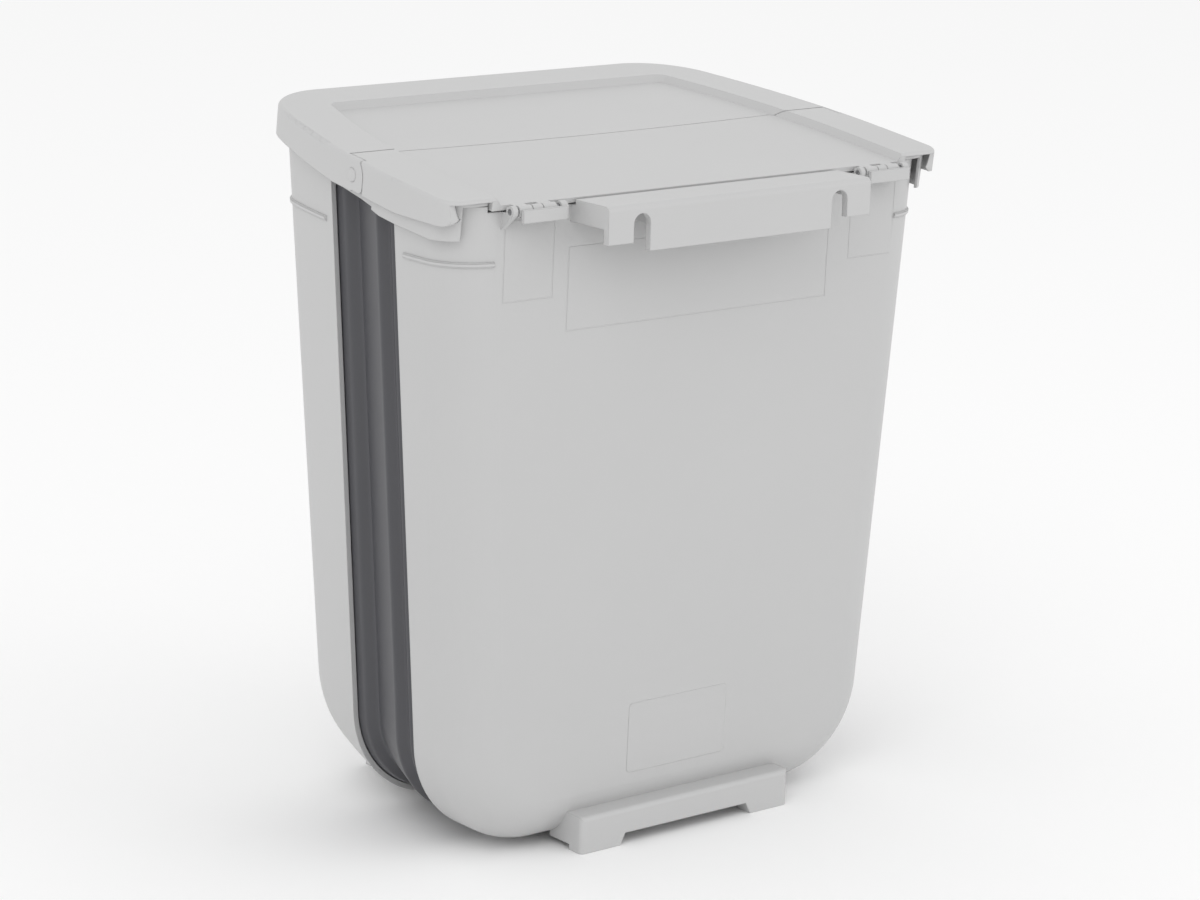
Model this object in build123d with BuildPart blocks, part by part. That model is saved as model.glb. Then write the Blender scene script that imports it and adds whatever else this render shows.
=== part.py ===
from build123d import *
from math import atan, cos, degrees, radians, sin, sqrt
import os

os.makedirs("parts", exist_ok=True)

# Collapsible under-sink bin. Millimetres, +Z up, +Y towards the cabinet door, feet on z = 0.

# Lid plane, which falls towards the rear
lid_height = 283.7
lid_slope = 0.1228
lid_angle = atan(lid_slope)
lid_plane = Plane(
    origin=(0, 0, lid_height), x_dir=(1, 0, 0), z_dir=(0, sin(lid_angle), cos(lid_angle))
)

# Lid outline, measured in the lid plane
lid_half_width = 128.0
lid_front_y = -91.0
lid_rear_y = 70.2
side_arc_radius = 380.0
side_arc_y = 40.0
front_corner_radius = 33.0
rear_corner_radius = 8.0
rear_run_out = 20.0

# Lid plate, recess and skirt
plate_thickness = 1.8
lid_edge_radius = 1.5
lid_skirt_thickness = 1.6
border_width = 23.0
recess_front_y = -69.2
recess_corner_radius = 5.0
recess_wall = 2.0
recess_depth = 3.0
recess_slope = 35.0
floor_thickness = 2.0
lid_skirt_reach = 24.0
skirt_front_z = 282.7
skirt_side = [(-13.3, 271.1), (-2.3, 270.2), (13.0, 268.9), (35.0, 266.1)]
skirt_end = (67.2, 265.3)
skirt_end_radius = 3.0
skirt_end_top_z = 273.8

# Flap hinge, positions in the lid plane
pin_y = 4.4
pin_depth = 6.9
seam_radius_border = 8.8
seam_radius_middle = 9.2
seam_radius_end = 12.0
seam_gap = 0.32
seam_end_x = 98.0
seam_step_x = 102.6
tab_zone_x = 123.6
tab_radius = 8.0
tab_drop = 6.1
tab_corner_radius = 3.0
pocket_gap = 0.5
flap_pin_radius = 1.6
flap_head_radius = 2.75
flap_head_thickness = 1.3
flap_head_face_x = 126.9
flap_head_rounding = 0.7
running_gap = 0.05
ear_inner_x = 121.9
ear_outer_x = 123.4
ear_front = -9.3
ear_rear = 12.4
ear_top = 5.6
ear_front_top = (-9.3, 2.5)
ear_plate_front = -4.0
ear_joint_y = 8.8
ear_joint_drop = 5.8
ear_skirt_x = 125.4

# Bag ring
layer_gap = 0.3
skirt_gap = 0.5
ring_plate_thickness = 1.2
ring_skirt_thickness = 1.4
ring_recess_gap = 0.5
ring_notch_front = -5.5
ring_notch_rear = 17.4
ring_notch_x = 121.3
ring_end_x = 118.5
ring_corner_radius = 12.0
ring_end_radius = 6.0
crossbar_front_y = 53.0
crossbar_rear_y = 58.0
crossbar_top = 5.6
crossbar_bottom = 8.0
post_width = 4.0
ring_skirt_line = [
    (-110, 286.3), (-20, 272.4), (-6, 269.4), (5.6, 266.9), (20.7, 262.7), (32.9, 261.1), (54.5, 258.9),
]
ring_end = (69.6, 258.9)
ring_end_top_z = 271.9

# Body shells
wall = 2.2
wall_setback = 4.0
side_draft = 0.06
bottom_z = 3.0
bottom_radius = 44.0
bottom_radius_growth = 0.25
blank_top_z = 300.0
rear_wall_y = 68.1
rear_wall_draft = 0.030
front_wall_y = -87.0
front_wall_draft = 0.036
rear_end_radius = 20.0
front_end_radius = 30.0
rear_edge_y = 27.8
front_edge_y = -23.3
rim_depth = 3.6
front_rim_depth = 10.6
front_stations = [front_edge_y, -40.0, -56.0, -72.0, -95.0]
relief_z = 269.5
relief_half_width = 107.6
relief_rear_y = 70.75

# Folding membrane: station y and how far the outer face sits inside the shell's outer face
membrane_wall = 1.2
membrane_gap = 0.3
membrane_lap = 4.5
membrane_edge_inset = 0.6
membrane_edge_gap = 0.35
membrane_edge_step = 0.1
membrane_waves = [(-17.5, 3.2), (-13.5, 7.5), (11.5, 1.6), (16.0, 5.2), (18.8, 3.4), (21.0, 4.4)]

# Hinges of lid and ring on the rear shell
hinge_x = 89.3
hinge_y = 73.0
hinge_z = 270.1
hinge_pin_radius = 1.2
knuckle_radius = 2.2
lug_radius = 2.3
lug_inner = 9.6
lug_outer = 12.1
lug_foot_z = 262.0
stop_inner = -14.6
stop_outer = -11.4
bar_end = 8.4
bar_front_y = 75.5
bar_rear_y = 77.2
bar_bottom_z = 265.8
bar_top_z = 270.9
lid_knuckles = [(2.5, 8.6), (-9.2, -3.0)]
ring_knuckle = (-2.6, 2.1)
ring_arm_gap = 0.6
arm_notch_z = 266.2

# Door bracket
bracket_half_width = 67.8
bracket_top_z = 271.7
bracket_plate = 2.5
bracket_rear_y = 91.6
flange_thickness = 3.0
bracket_side_z = 262.7
flange_end_z = 256.7
flange_middle_z = 252.8
notch_x = 51.1
notch_width = 8.2
notch_top_z = 268.0
bracket_rib_x = [-44.0, -15.0, 15.0, 44.0]
bracket_rib = 2.0
bracket_root_depth = 6.0
bracket_root_z = 266.0
bracket_edge_radius = 2.4

# Feet
rear_foot_half_width = 55.5
rear_foot_front_y = 48.0
rear_foot_rear_y = 69.0
rear_foot_top_z = 15.6
front_foot_half_width = 62.0
front_foot_front_y = -74.5
front_foot_rear_y = -71.0
front_foot_top_z = 15.6
foot_wall = 2.2
foot_cut_half_width = 35.0
foot_cut_height = 5.0
foot_side_z = 2.4
foot_pad_depth = 8.0
foot_edge_radius = 2.0

# Ribs, label pad and mould lines
rib_rear_z = 249.0
rib_front_z = 252.9
rib_steps = [(2.2, 0.5), (1.2, 0.9)]
rib_edge_gap = 6.0
rear_rib_end_x = 104.0
front_rib_end_x = 84.0
pad_half_width = 26.0
pad_low_z = 27.0
pad_high_z = 57.0
pad_raise = 0.12
line_width = 0.5
line_depth = 0.08
bracket_line_z = 218.5
hinge_line_z = 233.0
hinge_line_top_z = 266.0
hinge_line_low = -14.3
hinge_line_high = 10.2


def arc_x(y):
    """Half width of the lid outline at a station."""
    if y >= side_arc_y:
        return lid_half_width
    centre = lid_half_width - side_arc_radius
    return centre + sqrt(side_arc_radius**2 - (y - side_arc_y) ** 2)


def lid_z(y, depth):
    """Height of the surface that lies a depth under the lid plane."""
    return lid_height - lid_slope * y - depth / cos(lid_angle)


def plan_outline(depth, inset, rear_y, rear_radius=rear_corner_radius):
    """Lid outline in the plane a depth under the lid, moved inward by the inset."""
    with BuildSketch(lid_plane.offset(-depth)) as outline:
        with BuildLine():
            Polyline((0, rear_y), (lid_half_width, rear_y), (lid_half_width, side_arc_y))
            ThreePointArc(
                (lid_half_width, side_arc_y),
                (arc_x(lid_front_y / 2), lid_front_y / 2),
                (arc_x(lid_front_y), lid_front_y),
            )
            Line((arc_x(lid_front_y), lid_front_y), (0, lid_front_y))
            mirror(about=Plane.YZ)
        make_face()
        fillet(outline.vertices().group_by(Axis.Y)[0], radius=front_corner_radius)
        fillet(outline.vertices().group_by(Axis.Y)[-1], radius=rear_radius)
        if inset:
            offset(amount=-inset, kind=Kind.INTERSECTION)
    return outline.sketch


def recess_outline(depth, grow):
    """Outline of the recess in a plane under the lid, moved outward and open at the rear."""
    radius = side_arc_radius - border_width + grow
    centre_x = lid_half_width - side_arc_radius
    side_x = centre_x + radius
    front_y = recess_front_y - grow

    def side_point(y):
        """Point of the recess side at a station."""
        return centre_x + sqrt(radius**2 - (y - side_arc_y) ** 2), y

    with BuildSketch(lid_plane.offset(-depth)) as outline:
        with BuildLine():
            Polyline(
                (0, lid_rear_y + rear_run_out), (side_x, lid_rear_y + rear_run_out),
                (side_x, side_arc_y),
            )
            ThreePointArc((side_x, side_arc_y), side_point(front_y / 2), side_point(front_y))
            Line(side_point(front_y), (0, front_y))
            mirror(about=Plane.YZ)
        make_face()
        fillet(outline.vertices().group_by(Axis.Y)[0], radius=recess_corner_radius + grow)
    return outline.sketch


def body_profile(y, inset):
    """U-shaped section of the body at a station, moved inward by the inset."""
    rim_z = lid_z(y, rim_depth)
    top_x = arc_x(y) - wall_setback + side_draft * (blank_top_z - rim_z) - inset
    low_x = arc_x(y) - wall_setback - side_draft * (rim_z - bottom_z) - inset
    corner = bottom_radius + bottom_radius_growth * max(0, front_edge_y - y) - inset
    with BuildSketch(Plane.XZ.offset(-y)) as profile:
        with BuildLine():
            Polyline(
                (-top_x, blank_top_z),
                (-low_x, bottom_z + inset),
                (low_x, bottom_z + inset),
                (top_x, blank_top_z),
                close=True,
            )
        make_face()
        fillet(profile.vertices().group_by(Axis.Y)[0], radius=corner)
    return profile.sketch


def end_plane(wall_y, draft, facing, inset):
    """Plane of a drafted end wall, with its normal pointing out of the body."""
    return Plane(
        origin=(0, wall_y - facing * inset, lid_height),
        x_dir=(1, 0, 0),
        z_dir=(0, facing, -draft),
    )


def rear_blank(inset):
    """Solid that fills the rear half of the body, moved inward by the inset."""
    profile = body_profile((rear_edge_y + rear_wall_y) / 2, inset)
    with BuildPart() as blank:
        extrude(profile, amount=rear_wall_y, both=True)
        split(bisect_by=end_plane(rear_wall_y, rear_wall_draft, 1, inset), keep=Keep.BOTTOM)
        split(bisect_by=Plane.XZ.offset(-rear_edge_y), keep=Keep.BOTTOM)
        end_face = blank.faces().filter_by(
            lambda face: face.normal_at().Y > 0.9
        ).sort_by(Axis.Y)[-1]
        fillet(
            end_face.edges().filter_by(lambda edge: edge.center().Z < blank_top_z - 1),
            radius=rear_end_radius - inset,
        )
    return blank.part


def front_blank(inset):
    """Solid that fills the front half of the body, moved inward by the inset."""
    profiles = [body_profile(y, inset) for y in front_stations]
    with BuildPart() as blank:
        loft(profiles)
        split(bisect_by=end_plane(front_wall_y, front_wall_draft, -1, inset), keep=Keep.BOTTOM)
        end_face = blank.faces().filter_by(
            lambda face: face.normal_at().Y < -0.9
        ).sort_by(Axis.Y)[0]
        fillet(
            end_face.edges().filter_by(lambda edge: edge.center().Z < blank_top_z - 1),
            radius=front_end_radius - inset,
        )
    return blank.part


def membrane_profiles(lap_end_y, front_inset, extra):
    """Sections of a face of the folding membrane, from its front lap to its rear lap."""
    lap_inset = wall + membrane_gap
    stations = [(front_edge_y - membrane_lap, lap_inset), (lap_end_y, lap_inset)]
    stations += [(lap_end_y + membrane_edge_step, front_inset)] + membrane_waves
    stations += [(rear_edge_y, lap_inset), (rear_edge_y + membrane_lap, lap_inset)]
    return [body_profile(y, inset + extra) for y, inset in stations]


def span_box(x0, x1, y0, y1, z0, z1, mode=Mode.ADD):
    """Box between two corners, in the part that is being built."""
    with Locations(((x0 + x1) / 2, (y0 + y1) / 2, (z0 + z1) / 2)):
        Box(x1 - x0, y1 - y0, z1 - z0, mode=mode)


def lid_box(x0, x1, y0, y1, depth0, depth1):
    """Box in the lid's tilted frame, between two depths under the lid plane."""
    with BuildPart() as block:
        with BuildSketch(lid_plane.offset(-depth0)):
            with Locations(((x0 + x1) / 2, (y0 + y1) / 2)):
                Rectangle(x1 - x0, y1 - y0)
        extrude(amount=depth0 - depth1)
    return block.part


def cross_cylinder(y, z, radius, x0, x1):
    """Cylinder along X between two stations."""
    with BuildPart() as rod:
        with BuildSketch(Plane.YZ.offset(x0)):
            with Locations((y, z)):
                Circle(radius)
        extrude(amount=x1 - x0)
    return rod.part


def below_line(points, end, radius, top_z):
    """Solid under a line in side view that turns up at its rear end, across the whole width."""
    far_y = end[0] + rear_run_out
    with BuildPart() as block:
        with BuildSketch(Plane.YZ) as side:
            with BuildLine():
                Polyline(
                    *points, end, (end[0], top_z), (far_y, top_z), (far_y, 0), (points[0][0], 0),
                    close=True,
                )
            make_face()
            fillet(side.vertices().sort_by_distance((end[0], end[1], 0))[0], radius=radius)
        extrude(amount=lid_half_width + rear_run_out, both=True)
    return block.part


def seam_solid(grow):
    """Round front end of the rear lid, about the flap's pin axis."""
    outer_x = tab_zone_x + grow
    border_y = pin_y + seam_radius_border + grow
    end_y = pin_y + seam_radius_end + grow
    with BuildPart() as seam:
        with BuildSketch(lid_plane.offset(-pin_depth)):
            with BuildLine():
                Polyline(
                    (-seam_end_x, end_y), (-seam_step_x, border_y), (-outer_x, border_y),
                    (-outer_x, pin_y), (outer_x, pin_y), (outer_x, border_y),
                    (seam_step_x, border_y), (seam_end_x, end_y),
                )
                ThreePointArc(
                    (seam_end_x, end_y), (0, pin_y + seam_radius_middle + grow),
                    (-seam_end_x, end_y),
                )
            make_face()
        revolve(axis=Axis(pin_point, (1, 0, 0)))
    return seam.part


def tab_solid(grow, drop, corner_radius, x0):
    """Side tab of the flap about its pin axis, outward from a station."""
    radius = tab_radius + grow
    with BuildPart() as block:
        with BuildSketch(pin_plane.offset(x0)):
            with BuildLine():
                CenterArc((0, 0), radius, 0, 90)
                Line((radius, 0), (radius, corner_radius - drop))
                CenterArc((radius - corner_radius, corner_radius - drop), corner_radius, 270, 90)
                Polyline((radius - corner_radius, -drop), (-1, -drop), (-1, radius), (0, radius))
            make_face()
        extrude(amount=far - x0)
    return block.part


def pin_cylinder(radius, x0, x1):
    """Cylinder on the flap's pin axis."""
    return cross_cylinder(pin_point.Y, pin_point.Z, radius, x0, x1)


def both_sides(solid):
    """A solid and its mirror image across the middle of the bin."""
    return [solid, mirror(solid, about=Plane.YZ, mode=Mode.PRIVATE)]


pin_point = lid_plane.from_local_coords(Vector(0, pin_y, -pin_depth))
pin_plane = Plane(
    origin=pin_point, x_dir=(0, cos(lid_angle), -sin(lid_angle)), z_dir=(1, 0, 0)
)
ring_top = plate_thickness + layer_gap
ring_inset = lid_skirt_thickness + skirt_gap
floor_bottom = recess_depth + floor_thickness
hinge_local = lid_plane.to_local_coords(Vector(0, hinge_y, hinge_z))
hinge_centres = [-hinge_x, hinge_x]
far = lid_half_width + rear_run_out
skirt_line = [(lid_front_y - rear_run_out, skirt_front_z), (lid_front_y, skirt_front_z)] + skirt_side

# Lug and stop profile, drawn from the side
with BuildPart() as lug_profile:
    with BuildSketch(Plane.YZ):
        with Locations((hinge_y, hinge_z)):
            Circle(lug_radius)
        with Locations((rear_wall_y - 1.5, (lug_foot_z + relief_z) / 2)):
            Rectangle(1.0, relief_z - lug_foot_z)
        make_hull()
        with Locations((hinge_y, hinge_z)):
            Circle(hinge_pin_radius + running_gap, mode=Mode.SUBTRACT)
    extrude(amount=lug_outer - lug_inner)
lug = lug_profile.part

with BuildPart() as stop_profile:
    with BuildSketch(Plane.YZ):
        with Locations((hinge_y, hinge_z)):
            Circle(lug_radius)
        with Locations((rear_wall_y - 1.5, (bar_bottom_z + relief_z) / 2)):
            Rectangle(1.0, relief_z - bar_bottom_z)
        make_hull()
        with Locations((hinge_y, hinge_z)):
            Circle(hinge_pin_radius + running_gap, mode=Mode.SUBTRACT)
    extrude(amount=stop_outer - stop_inner)
stop = stop_profile.part

with BuildPart() as hinge_bar:
    with BuildSketch(Plane.XY.offset(bar_bottom_z)):
        with BuildLine():
            Polyline(
                (bar_end, bar_rear_y), (stop_inner, bar_rear_y), (stop_inner, rear_wall_y - 1.2),
                (stop_outer, rear_wall_y - 1.2), (stop_outer, bar_front_y), (bar_end, bar_front_y),
                close=True,
            )
        make_face()
    extrude(amount=bar_top_z - bar_bottom_z)
    corner = hinge_bar.edges().filter_by(Axis.Z).sort_by(Axis.Y)[-2:].sort_by(Axis.X)[0]
    fillet(corner, radius=stop_outer - stop_inner - 0.6)
    for end in (stop_inner, stop_outer):
        add(
            cross_cylinder(hinge_y, hinge_z, hinge_pin_radius + running_gap, end - 5, end + 5),
            mode=Mode.SUBTRACT,
        )

# Door bracket, open underneath
with BuildPart() as bracket:
    span_box(
        -bracket_half_width, bracket_half_width, rear_wall_y - 1.2, bracket_rear_y,
        flange_middle_z, bracket_top_z,
    )
    fillet(
        bracket.edges().filter_by(Axis.X).group_by(Axis.Z)[-1].sort_by(Axis.Y)[-1],
        radius=bracket_edge_radius,
    )
    inner_y = bracket_rear_y - flange_thickness
    plate_z = bracket_top_z - bracket_plate
    span_box(
        -bracket_half_width + wall, bracket_half_width - wall, 0, inner_y, 0, plate_z,
        mode=Mode.SUBTRACT,
    )
    span_box(-far, far, 0, inner_y, 0, bracket_side_z, mode=Mode.SUBTRACT)
    for side in (-1, 1):
        lug_x = sorted((side * (notch_x + notch_width / 2), side * far))
        span_box(*lug_x, 0, bracket_rear_y + 1, 0, flange_end_z, mode=Mode.SUBTRACT)
        centre = side * notch_x
        span_box(
            centre - notch_width / 2, centre + notch_width / 2, inner_y - 1, bracket_rear_y + 1,
            0, notch_top_z - notch_width / 2, mode=Mode.SUBTRACT,
        )
        with Locations((centre, bracket_rear_y, notch_top_z - notch_width / 2)):
            Cylinder(
                notch_width / 2, 4 * flange_thickness, rotation=(90, 0, 0), mode=Mode.SUBTRACT
            )
    for x in bracket_rib_x:
        span_box(
            x - bracket_rib / 2, x + bracket_rib / 2, rear_wall_y - 1.2, inner_y,
            bracket_side_z, plate_z,
        )
    span_box(
        -bracket_half_width, bracket_half_width, rear_wall_y - 1.2,
        rear_wall_y + bracket_root_depth, bracket_root_z, plate_z,
    )


def foot_gap():
    """Chamfered cut-out under the middle of a foot."""
    with BuildPart() as gap:
        with BuildSketch(Plane.XZ):
            with BuildLine():
                Polyline(
                    (-foot_cut_half_width, -1), (-foot_cut_half_width, 0),
                    (-foot_cut_half_width + foot_cut_height / 2, foot_cut_height),
                    (foot_cut_half_width - foot_cut_height / 2, foot_cut_height),
                    (foot_cut_half_width, 0), (foot_cut_half_width, -1), close=True,
                )
            make_face()
        extrude(amount=far, both=True)
    return gap.part


def side_rib(blank_of, z, low_y, high_y, end_x):
    """Rounded rib around the side walls of a shell, open across the end wall."""
    with BuildPart() as rib:
        for height, reach in rib_steps:
            with BuildPart(mode=Mode.PRIVATE) as step:
                add(blank_of(-reach))
                span_box(-far, far, low_y, high_y, z - height / 2, z + height / 2, mode=Mode.INTERSECT)
            add(step.part)
        span_box(-end_x, end_x, low_y, high_y, 0, blank_top_z, mode=Mode.SUBTRACT)
    return rib.part


# Rear foot: hollow, with two pads
with BuildPart() as rear_foot:
    inner_x = rear_foot_half_width - foot_wall
    pad_y = rear_foot_rear_y - foot_pad_depth
    span_box(
        -rear_foot_half_width, rear_foot_half_width, rear_foot_front_y, rear_foot_rear_y,
        0, rear_foot_top_z,
    )
    fillet(
        rear_foot.edges().filter_by(
            lambda edge: abs(edge.center().Y - rear_foot_rear_y) < 0.01 and edge.center().Z > 1
        ),
        radius=foot_edge_radius,
    )
    span_box(
        -inner_x, inner_x, 0, rear_foot_rear_y - foot_wall, foot_cut_height,
        rear_foot_top_z - foot_wall, mode=Mode.SUBTRACT,
    )
    span_box(-far, far, 0, pad_y, -1, foot_side_z, mode=Mode.SUBTRACT)
    span_box(-inner_x, inner_x, 0, pad_y, -1, foot_cut_height + 1, mode=Mode.SUBTRACT)
    add(foot_gap(), mode=Mode.SUBTRACT)

# Front foot: one upright plate
with BuildPart() as front_foot:
    span_box(
        -front_foot_half_width, front_foot_half_width, front_foot_front_y, front_foot_rear_y,
        0, front_foot_top_z,
    )
    add(foot_gap(), mode=Mode.SUBTRACT)

rear_rib = side_rib(rear_blank, rib_rear_z, rear_edge_y + rib_edge_gap, far, rear_rib_end_x)
front_rib = side_rib(front_blank, rib_front_z, -far, front_edge_y - rib_edge_gap, front_rib_end_x)
rear_face = end_plane(rear_wall_y, rear_wall_draft, 1, 0)

with BuildPart() as rear_shell:
    add(rear_blank(0))
    add(rear_rib)
    add(rear_foot.part)
    add(bracket.part)
    for x in hinge_centres:
        add(lug.moved(Location((x + lug_inner, 0, 0))))
        add(stop.moved(Location((x + stop_inner, 0, 0))))
        add(hinge_bar.part.moved(Location((x, 0, 0))))
    with BuildSketch(rear_face):
        with Locations((0, lid_height - (pad_low_z + pad_high_z) / 2)):
            RectangleRounded(2 * pad_half_width, pad_high_z - pad_low_z, 2)
    extrude(amount=pad_raise)
    with BuildSketch(rear_face):
        with Locations((0, lid_height - (bracket_line_z + flange_middle_z) / 2)):
            Rectangle(2 * bracket_half_width, flange_middle_z - bracket_line_z)
            Rectangle(
                2 * (bracket_half_width - line_width),
                flange_middle_z - bracket_line_z - 2 * line_width, mode=Mode.SUBTRACT,
            )
        for x in hinge_centres:
            with Locations((
                x + (hinge_line_low + hinge_line_high) / 2,
                lid_height - (hinge_line_z + hinge_line_top_z) / 2,
            )):
                Rectangle(hinge_line_high - hinge_line_low, hinge_line_top_z - hinge_line_z)
                Rectangle(
                    hinge_line_high - hinge_line_low - 2 * line_width,
                    hinge_line_top_z - hinge_line_z - 2 * line_width, mode=Mode.SUBTRACT,
                )
    extrude(amount=-line_depth, mode=Mode.SUBTRACT)
    add(rear_blank(wall), mode=Mode.SUBTRACT)
    span_box(
        -relief_half_width, relief_half_width, rear_edge_y + 20, relief_rear_y,
        relief_z, blank_top_z + 1, mode=Mode.SUBTRACT,
    )
    for x in hinge_centres:
        span_box(
            x + ring_knuckle[0] - ring_arm_gap, x + ring_knuckle[1] + ring_arm_gap,
            rear_edge_y + 20, relief_rear_y, arm_notch_z, blank_top_z + 1, mode=Mode.SUBTRACT,
        )
        add(
            cross_cylinder(
                hinge_y, hinge_z, hinge_pin_radius + running_gap, x + stop_inner - 1, x + lug_outer + 1
            ),
            mode=Mode.SUBTRACT,
        )
    with BuildPart(mode=Mode.PRIVATE) as above_rim:
        add(lid_box(-far, far, -far, rear_wall_y, -far, rim_depth))
    add(above_rim.part, mode=Mode.SUBTRACT)
    corner_top = lid_box(relief_half_width, far, -far, far, -far, rim_depth)
    add(both_sides(corner_top), mode=Mode.SUBTRACT)
rear_shell.part.label = "rear_shell"

with BuildPart() as front_shell:
    add(front_blank(0))
    add(front_rib)
    add(front_foot.part)
    add(front_blank(wall), mode=Mode.SUBTRACT)
    split(bisect_by=lid_plane.offset(-front_rim_depth), keep=Keep.BOTTOM)
front_shell.part.label = "front_shell"

with BuildPart() as fold_membrane:
    edge_y = front_edge_y + membrane_edge_gap
    loft(membrane_profiles(edge_y, membrane_edge_inset, 0), ruled=True)
    loft(
        membrane_profiles(edge_y + membrane_wall, wall + membrane_gap, membrane_wall),
        ruled=True, mode=Mode.SUBTRACT,
    )
    split(bisect_by=lid_plane.offset(-front_rim_depth), keep=Keep.BOTTOM)
fold_membrane.part.label = "fold_membrane"

with BuildPart() as bag_ring:
    inner_depth = ring_top + ring_plate_thickness
    outline_radius = ring_corner_radius + ring_inset
    extrude(
        plan_outline(ring_top, ring_inset, lid_rear_y, outline_radius), amount=-lid_skirt_reach
    )
    extrude(
        plan_outline(
            inner_depth, ring_inset + ring_skirt_thickness, lid_rear_y, outline_radius
        ),
        amount=-2 * lid_skirt_reach, mode=Mode.SUBTRACT,
    )
    add(
        below_line(ring_skirt_line, ring_end, ring_end_radius, ring_end_top_z),
        mode=Mode.SUBTRACT,
    )
    add(
        lid_box(
            -ring_end_x, ring_end_x, crossbar_front_y, far, inner_depth, 2 * lid_skirt_reach
        ),
        mode=Mode.SUBTRACT,
    )
    extrude(
        recess_outline(0, recess_wall + ring_recess_gap), amount=-2 * lid_skirt_reach,
        mode=Mode.SUBTRACT,
    )
    opening_inset = border_width - recess_wall - ring_recess_gap
    bar_x = lid_half_width - opening_inset
    add(
        lid_box(
            -bar_x - post_width, bar_x + post_width, crossbar_front_y, crossbar_rear_y,
            crossbar_top, crossbar_bottom,
        )
    )
    post = lid_box(
        bar_x, bar_x + post_width, crossbar_front_y, crossbar_rear_y, ring_top, crossbar_bottom
    )
    add(both_sides(post))
    for x in hinge_centres:
        add(
            lid_box(
                x + ring_knuckle[0], x + ring_knuckle[1], crossbar_front_y, hinge_local.Y - 1,
                crossbar_top, crossbar_bottom - 0.2,
            )
        )
        add(
            cross_cylinder(
                hinge_y, hinge_z, knuckle_radius, x + ring_knuckle[0], x + ring_knuckle[1]
            )
        )
    notch = lid_box(ring_notch_x, far, ring_notch_front, ring_notch_rear, 0, 2 * lid_skirt_reach)
    add(both_sides(notch), mode=Mode.SUBTRACT)
    add(
        cross_cylinder(hinge_y, hinge_z, hinge_pin_radius + running_gap, -far, far),
        mode=Mode.SUBTRACT,
    )
bag_ring.part.label = "bag_ring"

# Whole lid before it is divided
with BuildPart() as lid_blank:
    extrude(plan_outline(0, 0, lid_rear_y), amount=-lid_skirt_reach)
    fillet(
        lid_blank.faces().filter_by(lid_plane).sort_by(Axis.Z)[-1].edges(), radius=lid_edge_radius
    )
    extrude(
        plan_outline(plate_thickness, lid_skirt_thickness, lid_rear_y),
        amount=-2 * lid_skirt_reach, mode=Mode.SUBTRACT,
    )
    add(
        below_line(skirt_line, skirt_end, skirt_end_radius, skirt_end_top_z),
        mode=Mode.SUBTRACT,
    )
    with BuildPart(mode=Mode.PRIVATE) as floor_block:
        extrude(recess_outline(1, recess_wall), amount=1 - floor_bottom)
        add(lid_box(-far, far, -far, lid_rear_y, 0, 2 * floor_bottom), mode=Mode.INTERSECT)
    add(floor_block.part)
    extrude(
        recess_outline(0, 0), amount=-recess_depth, taper=recess_slope, mode=Mode.SUBTRACT
    )

flap_box = lid_box(-far, far, -far, pin_y, -far, far)
with BuildPart() as flap_zone:
    add(flap_box)
    add(seam_solid(seam_gap), mode=Mode.SUBTRACT)
    tab = tab_solid(0, tab_drop, tab_corner_radius, tab_zone_x + seam_gap)
    add(both_sides(tab))

with BuildPart() as lid_cut:
    add(flap_box)
    add(seam_solid(0), mode=Mode.SUBTRACT)
    pocket = tab_solid(pocket_gap, 4 * pin_depth, tab_corner_radius, tab_zone_x)
    add(both_sides(pocket))

with BuildPart() as front_flap:
    add(lid_blank.part)
    add(flap_zone.part, mode=Mode.INTERSECT)
    head_seat = flap_head_face_x - flap_head_thickness - running_gap
    add(
        both_sides(pin_cylinder(flap_pin_radius + running_gap, ear_inner_x, far)),
        mode=Mode.SUBTRACT,
    )
    add(
        both_sides(pin_cylinder(flap_head_radius + running_gap, head_seat, far)),
        mode=Mode.SUBTRACT,
    )
front_flap.part.label = "front_flap"

# Ear that carries the flap's pin and closes the side behind the tab
with BuildPart() as ear:
    with BuildSketch(pin_plane.offset(ear_inner_x)):
        with BuildLine():
            Polyline(
                ear_front_top, (ear_plate_front, ear_top), (ear_rear, ear_top),
                (ear_rear, -lid_skirt_reach), (ear_front, -lid_skirt_reach), close=True,
            )
        make_face()
    extrude(amount=ear_outer_x - ear_inner_x)
    add(
        below_line(ring_skirt_line, ring_end, ring_end_radius, ring_end_top_z),
        mode=Mode.SUBTRACT,
    )
    add(
        lid_box(
            ear_inner_x, ear_skirt_x, pin_y + ear_joint_y, pin_y + ear_rear,
            pin_depth - ear_top, pin_depth + ear_joint_drop,
        )
    )
    add(
        pin_cylinder(flap_pin_radius + running_gap, ear_inner_x - 1, far), mode=Mode.SUBTRACT
    )

with BuildPart() as rear_lid:
    add(lid_blank.part)
    add(lid_cut.part, mode=Mode.SUBTRACT)
    add(both_sides(ear.part))
    for x in hinge_centres:
        for low, high in lid_knuckles:
            add(
                lid_box(
                    x + low, x + high, lid_rear_y - 1, hinge_local.Y, recess_depth, floor_bottom
                )
            )
            add(cross_cylinder(hinge_y, hinge_z, knuckle_radius, x + low, x + high))
    add(
        cross_cylinder(hinge_y, hinge_z, hinge_pin_radius + running_gap, -far, far),
        mode=Mode.SUBTRACT,
    )
rear_lid.part.label = "rear_lid"

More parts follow.
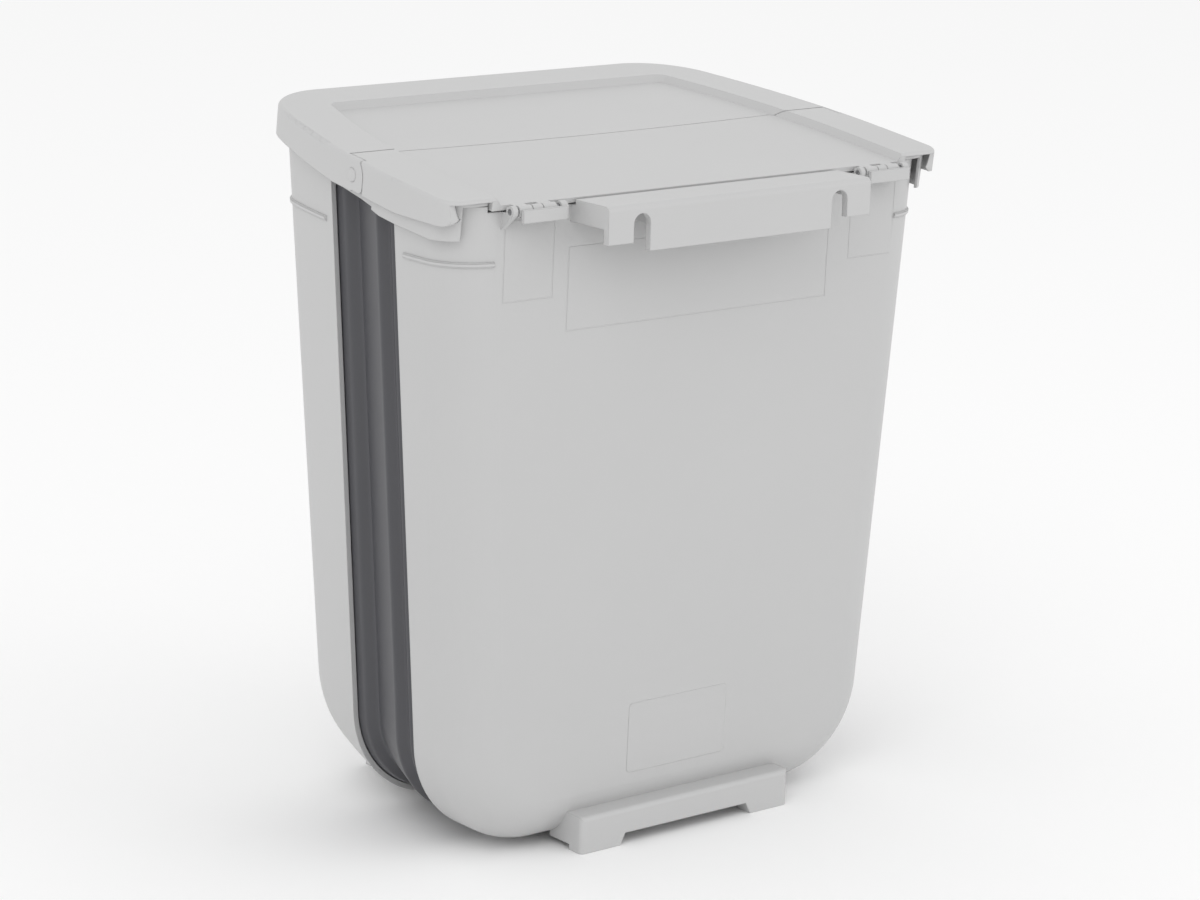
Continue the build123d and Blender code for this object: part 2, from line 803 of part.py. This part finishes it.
pins = {}
for name, side in (("left", 1), ("right", -1)):
    with BuildPart() as flap_pin:
        span = sorted((side * (ear_inner_x + 0.2), side * (flap_head_face_x - flap_head_thickness)))
        add(pin_cylinder(flap_pin_radius, *span))
        span = sorted((side * (flap_head_face_x - flap_head_thickness), side * flap_head_face_x))
        add(pin_cylinder(flap_head_radius, *span))
        fillet(
            flap_pin.edges().filter_by(GeomType.CIRCLE).sort_by(Axis.X)[-1 if side > 0 else 0],
            radius=flap_head_rounding,
        )
    flap_pin.part.label = "flap_pin_" + name
    with BuildPart() as hinge_pin:
        add(
            cross_cylinder(
                hinge_y, hinge_z, hinge_pin_radius,
                side * hinge_x + stop_inner, side * hinge_x + lug_outer,
            )
        )
    hinge_pin.part.label = "hinge_pin_" + name
    pins[flap_pin.part.label] = flap_pin.part
    pins[hinge_pin.part.label] = hinge_pin.part

export_step(rear_shell.part, "parts/rear_shell.step")
export_step(front_shell.part, "parts/front_shell.step")
export_step(fold_membrane.part, "parts/fold_membrane.step")
export_step(bag_ring.part, "parts/bag_ring.step")
export_step(rear_lid.part, "parts/rear_lid.step")
export_step(front_flap.part, "parts/front_flap.step")
for label, pin in pins.items():
    export_step(pin, "parts/" + label + ".step")
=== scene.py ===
"""Studio scene of the collapsible under-sink bin, dressed over its CAD frame."""

import logging
import math
from dataclasses import dataclass, field
from enum import Enum

import bpy
import numpy as np
from mathutils import Matrix, Vector


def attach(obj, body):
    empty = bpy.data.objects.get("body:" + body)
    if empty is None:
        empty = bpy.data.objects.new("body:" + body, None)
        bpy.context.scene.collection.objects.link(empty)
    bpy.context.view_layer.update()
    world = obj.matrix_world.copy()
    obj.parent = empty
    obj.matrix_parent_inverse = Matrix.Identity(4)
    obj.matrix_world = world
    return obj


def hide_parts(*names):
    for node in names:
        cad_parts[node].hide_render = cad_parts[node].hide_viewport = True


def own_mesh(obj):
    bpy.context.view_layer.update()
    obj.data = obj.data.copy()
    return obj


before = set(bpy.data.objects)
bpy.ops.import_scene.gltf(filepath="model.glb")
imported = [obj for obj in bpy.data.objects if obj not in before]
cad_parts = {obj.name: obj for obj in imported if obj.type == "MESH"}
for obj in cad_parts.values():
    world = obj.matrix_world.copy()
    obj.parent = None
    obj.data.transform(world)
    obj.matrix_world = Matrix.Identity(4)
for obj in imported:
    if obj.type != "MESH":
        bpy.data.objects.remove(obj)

log = logging.getLogger("bin_scene")

MM = 0.001
SIZE_DIGITS = 5

# Constants of the sRGB transfer curve, and the top value of one hex channel.
SRGB_TOE = 0.04045
SRGB_TOE_SLOPE = 12.92
SRGB_OFFSET = 0.055
SRGB_GAMMA = 2.4
HEX_TOP = 255


class Slot(Enum):
    """Material slots of the record."""

    BODY = "body_plastic"
    LID = "lid_plastic"
    BAND = "soft_band"
    STEEL = "pin_steel"


def linear(channel: float) -> float:
    """Turn one sRGB channel into linear light.

    The curve is a straight line near black and a power law above it.

    Args:
        channel: The sRGB value, 0 to 1.

    Returns:
        The linear value, 0 to 1.
    """
    if channel <= SRGB_TOE:
        return channel / SRGB_TOE_SLOPE
    return ((channel + SRGB_OFFSET) / (1 + SRGB_OFFSET)) ** SRGB_GAMMA


def hex_colour(code: str) -> tuple[float, float, float, float]:
    """Turn a hex colour into a linear RGBA value.

    Args:
        code: The colour as six hex digits, with or without a leading hash.

    Returns:
        Linear red, green, blue and an alpha of 1.
    """
    digits = code.lstrip("#")
    red, green, blue = (linear(int(digits[i : i + 2], 16) / HEX_TOP) for i in (0, 2, 4))
    return red, green, blue, 1.0


def add_node(
    tree: bpy.types.NodeTree, kind: str, inputs: dict, **settings: object
) -> bpy.types.Node:
    """Add a shader node with its settings, values and links.

    Args:
        tree: The node tree.
        kind: The node's type name.
        inputs: Value or linked output socket of each input, by name or number.
        settings: Attributes set on the node before its inputs.

    Returns:
        The new node.
    """
    node = tree.nodes.new(kind)
    for name, value in settings.items():
        setattr(node, name, value)
    for name, value in inputs.items():
        if isinstance(value, bpy.types.NodeSocket):
            tree.links.new(value, node.inputs[name])
        else:
            node.inputs[name].default_value = value
    return node


@dataclass(frozen=True)
class Finish:
    """Surface finish of one material.

    Attributes:
        slot: The record's material slot that this finish paints.
        colour: Base colour as sRGB hex.
        roughness: Principled roughness.
        metallic: Principled metallic value.
        grain_height: Height of the fine moulded texture in millimetres.
        grain_scale: Scale of the fine texture on object coordinates in metres.
        grain_detail: Octaves of the fine texture.
        grain_strength: Strength of the fine texture's bump.
        edge_radius: Radius in millimetres that sharp edges are shaded with.
        edge_samples: Samples of the edge shading.
        mottle: Share by which the colour varies over the surface.
        mottle_scale: Scale of that variation on object coordinates in metres.
        mottle_detail: Octaves of that variation.
    """

    slot: Slot
    colour: str
    roughness: float
    metallic: float = 0.0
    grain_height: float = 0.02
    grain_scale: float = 1500.0
    grain_detail: float = 2.0
    grain_strength: float = 0.35
    edge_radius: float = 0.6
    edge_samples: int = 6
    mottle: float = 0.02
    mottle_scale: float = 14.0
    mottle_detail: float = 3.0


FINISHES = {
    # Moulded light grey polypropylene: satin, so edges catch a broad, soft sheen.
    Slot.BODY: Finish(Slot.BODY, "#C1C1C1", 0.46),
    Slot.LID: Finish(Slot.LID, "#C2C2C2", 0.46),
    # Moulded dark elastomer: smooth skin, with the folds told apart by their shading.
    Slot.BAND: Finish(Slot.BAND, "#4C4C50", 0.42, grain_height=0.01, edge_radius=0.3),
    # Drawn steel wire: bare metal with a dull shine, mostly hidden in the knuckles.
    Slot.STEEL: Finish(Slot.STEEL, "#A8A8AA", 0.32, metallic=1.0, edge_radius=0.2),
}


@dataclass
class MaterialShop:
    """Builds each finish's material once and hands it out."""

    made: dict = field(default_factory=dict)

    def get(self, slot: Slot) -> bpy.types.Material:
        """Return the material of a slot.

        Args:
            slot: The record's material slot.

        Returns:
            The Blender material, built on first use.
        """
        if slot not in self.made:
            self.made[slot] = self._build(FINISHES[slot])
        return self.made[slot]

    @staticmethod
    def _build(finish: Finish) -> bpy.types.Material:
        """Build one procedural material.

        A broad noise scales the colour up and down, and a fine noise raises the surface.

        Args:
            finish: The finish to build.

        Returns:
            The new material.
        """
        material = bpy.data.materials.new(finish.slot.value)
        material.use_nodes = True
        tree = material.node_tree
        shader = tree.nodes["Principled BSDF"]
        shader.inputs["Roughness"].default_value = finish.roughness
        shader.inputs["Metallic"].default_value = finish.metallic
        place = add_node(tree, "ShaderNodeTexCoord", {}).outputs["Object"]

        cloud = add_node(tree, "ShaderNodeTexNoise", {
            "Scale": finish.mottle_scale, "Detail": finish.mottle_detail, "Vector": place,
        })
        tint = add_node(tree, "ShaderNodeMapRange", {
            "To Min": 1.0 - finish.mottle, "To Max": 1.0 + finish.mottle,
            "Value": cloud.outputs["Fac"],
        })
        paint = add_node(tree, "ShaderNodeVectorMath", {
            0: hex_colour(finish.colour)[:3], "Scale": tint.outputs["Result"],
        }, operation="SCALE")
        tree.links.new(paint.outputs["Vector"], shader.inputs["Base Color"])

        soft = add_node(tree, "ShaderNodeBevel", {
            "Radius": finish.edge_radius * MM,
        }, samples=finish.edge_samples)
        grain = add_node(tree, "ShaderNodeTexNoise", {
            "Scale": finish.grain_scale, "Detail": finish.grain_detail, "Vector": place,
        })
        bump = add_node(tree, "ShaderNodeBump", {
            "Strength": finish.grain_strength, "Distance": finish.grain_height * MM,
            "Height": grain.outputs["Fac"], "Normal": soft.outputs["Normal"],
        })
        tree.links.new(bump.outputs["Normal"], shader.inputs["Normal"])
        return material


SHOP = MaterialShop()


@dataclass(frozen=True)
class BodyForm:
    """Shape of the body's outer face, in millimetres in the row frame.

    Attributes:
        half_width: Half width of the lid outline where it is straight.
        arc_radius: Radius of the outline's side arc in plan.
        arc_y: Station where the side arc begins.
        setback: Distance from the lid outline to the body at the rim.
        draft: Slope of the side walls.
        rim_height: Rim height at the middle of the bin.
        rim_slope: Fall of the rim towards the rear.
        bottom_z: Height of the bottom's outer face.
        bottom_radius: Radius between side wall and bottom.
        radius_growth: Growth of that radius per millimetre in front of growth_y.
        growth_y: Station where the radius begins to grow.
        wall_points: Points along a side wall.
        corner_points: Points on a bottom corner.
        base_points: Points along half of the bottom.
    """

    half_width: float = 128.0
    arc_radius: float = 380.0
    arc_y: float = 40.0
    setback: float = 4.0
    draft: float = 0.06
    rim_height: float = 280.07
    rim_slope: float = 0.1228
    bottom_z: float = 3.0
    bottom_radius: float = 44.0
    radius_growth: float = 0.25
    growth_y: float = -23.3
    wall_points: int = 40
    corner_points: int = 24
    base_points: int = 16

    def outline_x(self, y: np.ndarray) -> np.ndarray:
        """Half width of the lid outline at each station.

        It is straight behind arc_y and follows a circle in front of it.

        Args:
            y: The stations.

        Returns:
            The half widths in millimetres.
        """
        reach = np.sqrt(self.arc_radius**2 - np.minimum(y - self.arc_y, 0.0) ** 2)
        return self.half_width - self.arc_radius + reach

    def sections(self, y: np.ndarray, inset: np.ndarray, top_drop: float) -> np.ndarray:
        """Points of the U-shaped section at each station, from one rim end to the other.

        Half a section is a leaning line, an arc tangent to it and a level line. The other
        half is its mirror image.

        Args:
            y: The stations.
            inset: Distance that each section is moved inward.
            top_drop: Distance of the sections' ends under the rim.

        Returns:
            An array of stations by points by coordinates, in millimetres.
        """
        rim_z = self.rim_height - self.rim_slope * y
        rise = self.draft * (rim_z - self.bottom_z)
        low_x = self.outline_x(y) - self.setback - inset - rise
        low_z = self.bottom_z + inset
        growth = self.radius_growth * np.maximum(0.0, self.growth_y - y)
        radius = self.bottom_radius + growth - inset
        lean = math.atan(self.draft)
        tangent = radius / math.tan((math.pi / 2 + lean) / 2)

        centre = np.stack([low_x - tangent, low_z + radius], axis=-1)
        turn = np.linspace(-lean, -math.pi / 2, self.corner_points)
        ray = np.column_stack([np.cos(turn), np.sin(turn)])
        corner = centre[:, None, :] + radius[:, None, None] * ray

        top_z = rim_z - top_drop
        top = np.stack([low_x + self.draft * (top_z - low_z), top_z], axis=-1)
        wall = np.linspace(top, corner[:, 0], self.wall_points, axis=1)[:, :-1]
        middle = np.stack([np.zeros_like(y), low_z], axis=-1)
        base = np.linspace(corner[:, -1], middle, self.base_points, axis=1)[:, 1:]

        half = np.concatenate([wall, corner, base], axis=1)
        mirrored = half[:, -2::-1] * [-1.0, 1.0]
        plan = np.concatenate([half, mirrored], axis=1)
        station = np.broadcast_to(y[:, None], plan.shape[:2])
        return np.stack([plan[..., 0], station, plan[..., 1]], axis=-1)


def add_mesh(name: str, points: np.ndarray, faces: list, slot: Slot) -> bpy.types.Object:
    """Make a mesh object in the row frame.

    Args:
        name: The object's name.
        points: Vertices in millimetres.
        faces: Vertex indices of each face.
        slot: The record's material slot.

    Returns:
        The new object, linked to the scene.
    """
    mesh = bpy.data.meshes.new(name)
    mesh.from_pydata((points * MM).tolist(), [], faces)
    mesh.validate()
    mesh.shade_smooth()
    obj = bpy.data.objects.new(name, mesh)
    bpy.context.scene.collection.objects.link(obj)
    obj.data.materials.append(SHOP.get(slot))
    return obj


def tube_faces(rows: int, columns: int) -> list:
    """Faces of a sheet that closes on itself along its rows, with both ends capped.

    Args:
        rows: Number of rows, where the last joins the first.
        columns: Number of points in each row.

    Returns:
        Vertex indices of each face.
    """
    grid = np.arange(rows * columns).reshape(rows, columns)
    after = np.roll(grid, -1, axis=0)
    quads = np.stack([grid[:, :-1], grid[:, 1:], after[:, 1:], after[:, :-1]], axis=-1)
    return [*quads.reshape(-1, 4).tolist(), grid[::-1, 0].tolist(), grid[:, -1].tolist()]


@dataclass
class FoldingBand:
    """Soft band between the two shells, with its folds.

    Attributes:
        form: The body's shape.
        front_y: Rear edge of the front shell.
        rear_y: Front edge of the rear shell.
        lap: Reach of the band behind each shell's edge.
        lap_inset: Depth of the band's outer face behind the shell's outer face there.
        thickness: Thickness of the band.
        rim_drop: Distance of the band's top edge under the rim.
        waves: Station and inset of each fold line.
        station_count: Sections along the band.
        round_count: Odd number of sections that a fold line is rounded over.
        folded_share: Share of its length that the band keeps when folded. Not used.
    """

    form: BodyForm
    front_y: float = -23.3
    rear_y: float = 27.8
    lap: float = 4.5
    lap_inset: float = 2.5
    thickness: float = 1.2
    rim_drop: float = 7.1
    waves: tuple = (
        (-17.5, 3.2), (-13.5, 7.5), (11.5, 1.6), (16.0, 5.2), (18.8, 3.4), (21.0, 4.4),
    )
    station_count: int = 150
    round_count: int = 9
    folded_share: float = 0.33

    def stations(self) -> tuple[np.ndarray, np.ndarray]:
        """Stations and insets of the outer face with its fold lines rounded.

        The insets run straight between the fold lines and are then averaged with a bell
        shaped weight.

        Returns:
            Stations and insets, in millimetres.
        """
        knots = [
            (self.front_y - self.lap, self.lap_inset), (self.front_y, self.lap_inset),
            *self.waves,
            (self.rear_y, self.lap_inset), (self.rear_y + self.lap, self.lap_inset),
        ]
        y, inset = np.array(knots).T
        fine = np.linspace(y[0], y[-1], self.station_count)
        weight = np.hanning(self.round_count)
        weight /= weight.sum()
        padded = np.pad(np.interp(fine, y, inset), self.round_count // 2, mode="edge")
        return fine, np.convolve(padded, weight, mode="valid")

    def build(self) -> bpy.types.Object:
        """Build the band and attach it to the rear body.

        The outer face runs to the rear and the inner face back to the front, so that the
        two close into one tube.

        Returns:
            The band.
        """
        y, inset = self.stations()
        outer = self.form.sections(y, inset, self.rim_drop)
        inner = self.form.sections(y[::-1], inset[::-1] + self.thickness, self.rim_drop)
        tube = np.concatenate([outer, inner])
        rows, columns, axes = tube.shape
        band = add_mesh(
            "soft_band", tube.reshape(-1, axes), tube_faces(rows, columns), Slot.BAND
        )
        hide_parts("fold_membrane")
        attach(band, "rear_body")
        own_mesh(band)
        return band


NODE_SLOTS = {
    "rear_shell": Slot.BODY,
    "front_shell": Slot.BODY,
    "fold_membrane": Slot.BAND,
    "bag_ring": Slot.BODY,
    "rear_lid": Slot.LID,
    "front_flap": Slot.LID,
    "flap_pin_left": Slot.LID,
    "flap_pin_right": Slot.LID,
    "hinge_pin_left": Slot.STEEL,
    "hinge_pin_right": Slot.STEEL,
}


def paint_nodes() -> None:
    """Give every CAD node its finish."""
    for name, slot in NODE_SLOTS.items():
        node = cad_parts[name]
        node.data.materials.clear()
        node.data.materials.append(SHOP.get(slot))
        log.info("painted %s as %s", name, slot.value)


@dataclass(frozen=True)
class CameraFit:
    """Camera solved from the photograph, in the row frame.

    Attributes:
        place: Camera position in millimetres.
        right: Direction of the picture's right.
        up: Direction of the picture's top.
        forward: Viewing direction.
        lens: Focal length in millimetres.
        sensor: Sensor width in millimetres.
        clip: Nearest and farthest distance that is drawn, in metres.
    """

    place: tuple = (945.77, 1185.91, 522.33)
    right: tuple = (-0.78414, 0.62007, 0.02547)
    up: tuple = (-0.12924, -0.20330, 0.97055)
    forward: tuple = (-0.60698, -0.75775, -0.23956)
    lens: float = 111.52
    sensor: float = 36.0
    clip: tuple = (0.05, 40.0)

    def build(self) -> bpy.types.Object:
        """Make the scene's camera.

        Returns:
            The camera object.
        """
        data = bpy.data.cameras.new("camera")
        data.sensor_width = self.sensor
        data.lens = self.lens
        data.clip_start, data.clip_end = self.clip
        camera = bpy.data.objects.new("camera", data)
        bpy.context.scene.collection.objects.link(camera)
        axes = Matrix((self.right, self.up, tuple(-c for c in self.forward))).transposed()
        camera.matrix_world = Matrix.Translation(Vector(self.place) * MM) @ axes.to_4x4()
        bpy.context.scene.camera = camera
        return camera


@dataclass(frozen=True)
class SoftBox:
    """One large round area light.

    Attributes:
        name: The light's name.
        place: Position in metres.
        size: Diameter in metres.
        power: Power in watts.
    """

    name: str
    place: tuple
    size: float
    power: float

    def build(self, target: Vector) -> None:
        """Make the light and turn it towards a point.

        Args:
            target: The point that the light faces, in metres.
        """
        data = bpy.data.lights.new(self.name, "AREA")
        data.shape = "DISK"
        data.size = self.size
        data.energy = self.power
        light = bpy.data.objects.new(self.name, data)
        light.location = self.place
        light.rotation_mode = "QUATERNION"
        light.rotation_quaternion = (target - Vector(self.place)).to_track_quat("-Z", "Y")
        bpy.context.scene.collection.objects.link(light)


@dataclass
class Studio:
    """Pale floor, even surroundings and soft light.

    Attributes:
        floor_size: Side of the square floor in metres.
        floor_colour: Colour of the floor as sRGB hex.
        ambient: Strength of the even surroundings.
        backdrop: Strength of the white that the camera and reflections see.
        target: Point in metres that the lights face.
        boxes: The area lights.
    """

    floor_size: float = 30.0
    floor_colour: str = "#FDFDFD"
    ambient: float = 0.93
    backdrop: float = 1.0
    target: tuple = (0.0, 0.0, 0.15)
    boxes: tuple = (
        SoftBox("key", (1.8, 1.4, 2.2), 1.6, 9.0),
        SoftBox("fill", (-1.6, 2.2, 1.2), 1.8, 6.0),
    )

    def build(self) -> None:
        """Make the floor, the world and the lights."""
        self._floor()
        self._world()
        for box in self.boxes:
            box.build(Vector(self.target))
            log.info("light %s", box.name)
        view = bpy.context.scene.view_settings
        view.view_transform = "Standard"
        view.look = "None"
        view.exposure = 0.0
        view.gamma = 1.0

    def _floor(self) -> None:
        """Lay the floor under the feet."""
        half = self.floor_size / 2
        mesh = bpy.data.meshes.new("floor")
        corners = [(-half, -half, 0), (half, -half, 0), (half, half, 0), (-half, half, 0)]
        mesh.from_pydata(corners, [], [(0, 1, 2, 3)])
        floor = bpy.data.objects.new("floor", mesh)
        bpy.context.scene.collection.objects.link(floor)
        material = bpy.data.materials.new("floor_paint")
        material.use_nodes = True
        shader = material.node_tree.nodes["Principled BSDF"]
        shader.inputs["Base Color"].default_value = hex_colour(self.floor_colour)
        shader.inputs["Roughness"].default_value = 1.0
        shader.inputs["Specular IOR Level"].default_value = 0.0
        mesh.materials.append(material)

    def _world(self) -> None:
        """Light the scene evenly, and show white where nothing stands."""
        world = bpy.data.worlds.new("surroundings")
        bpy.context.scene.world = world
        world.use_nodes = True
        tree = world.node_tree
        tree.nodes.clear()
        even, white = (
            add_node(tree, "ShaderNodeBackground", {
                "Strength": strength, "Color": (1.0, 1.0, 1.0, 1.0),
            }).outputs["Background"]
            for strength in (self.ambient, self.backdrop)
        )
        ray = add_node(tree, "ShaderNodeLightPath", {}).outputs
        first = add_node(tree, "ShaderNodeMath", {
            0: ray["Is Camera Ray"], 1: ray["Is Glossy Ray"],
        }, operation="MAXIMUM")
        second = add_node(tree, "ShaderNodeMath", {
            0: first.outputs["Value"], 1: ray["Is Transmission Ray"],
        }, operation="MAXIMUM")
        mix = add_node(tree, "ShaderNodeMixShader", {
            "Fac": second.outputs["Value"], 1: even, 2: white,
        })
        add_node(tree, "ShaderNodeOutputWorld", {"Surface": mix.outputs["Shader"]})


def shape_bounds(objects: list) -> list:
    """Lowest and highest corner of some meshes.

    Args:
        objects: Mesh objects whose vertices are in the row frame.

    Returns:
        Two corners in metres.
    """
    low, high = np.full(3, np.inf), np.full(3, -np.inf)
    for obj in objects:
        points = np.zeros(len(obj.data.vertices) * 3)
        obj.data.vertices.foreach_get("co", points)
        points = points.reshape(-1, 3)
        low, high = np.minimum(low, points.min(0)), np.maximum(high, points.max(0))
    return [low.round(SIZE_DIGITS).tolist(), high.round(SIZE_DIGITS).tolist()]


CAD_BOUNDS = shape_bounds(list(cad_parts.values()))


def main() -> None:
    """Dress the frame and set the studio."""
    logging.basicConfig(level=logging.INFO)
    paint_nodes()
    band = FoldingBand(BodyForm()).build()
    log.info("built %s with %d vertices", band.name, len(band.data.vertices))
    CameraFit().build()
    Studio().build()


if __name__ == "__main__":
    main()
